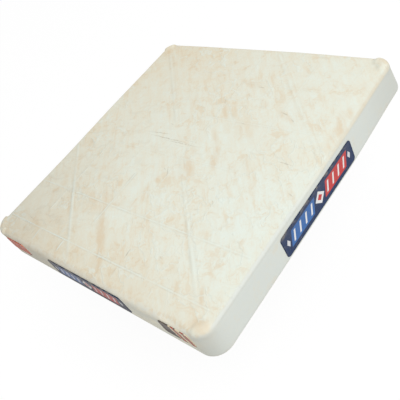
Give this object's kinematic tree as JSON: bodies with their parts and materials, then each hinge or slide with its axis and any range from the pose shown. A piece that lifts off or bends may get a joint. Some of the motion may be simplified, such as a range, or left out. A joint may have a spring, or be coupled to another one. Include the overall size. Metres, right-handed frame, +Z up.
{
  "type": "baseball base",
  "caption": "Square white rubber baseball base with a ridged top and waffle underside, bolted to a steel flange whose square post drops into a ground sleeve.",
  "frame": {"origin": "middle of the post's lower end", "axes": "+Z up along the post, front (with three labels) towards -Y, right side (with one label) towards +X"},
  "size_m": [0.4583, 0.4583, 0.2093],
  "materials": {
    "white_rubber": "matte, dirt-stained moulded rubber",
    "plain_steel": "mill finish",
    "galvanised_steel": "galvanised, scuffed",
    "weld_steel": "as welded",
    "zinc_steel": "bright zinc plate",
    "printed_navy": "printed vinyl, satin",
    "printed_red": "printed vinyl, satin",
    "printed_brown": "printed vinyl, satin"
  },
  "bodies": {
    "root": {"base_cover": "white_rubber", "insert_plate": "plain_steel", "flange_plate": "plain_steel", "stanchion_post": "galvanised_steel", "post_weld": "weld_steel", "side_patch_front": "printed_navy", "side_patch_right": "printed_navy", "corner_decal_left": "printed_red", "corner_decal_right": "printed_brown", "flange_bolt_1": "zinc_steel", "lock_washer_1": "zinc_steel", "flat_washer_1": "zinc_steel", "weld_nut_1": "zinc_steel", "flange_bolt_2": "zinc_steel", "lock_washer_2": "zinc_steel", "flat_washer_2": "zinc_steel", "weld_nut_2": "zinc_steel", "flange_bolt_3": "zinc_steel", "lock_washer_3": "zinc_steel", "flat_washer_3": "zinc_steel", "weld_nut_3": "zinc_steel", "flange_bolt_4": "zinc_steel", "lock_washer_4": "zinc_steel", "flat_washer_4": "zinc_steel", "weld_nut_4": "zinc_steel"}
  },
  "joints": []
}
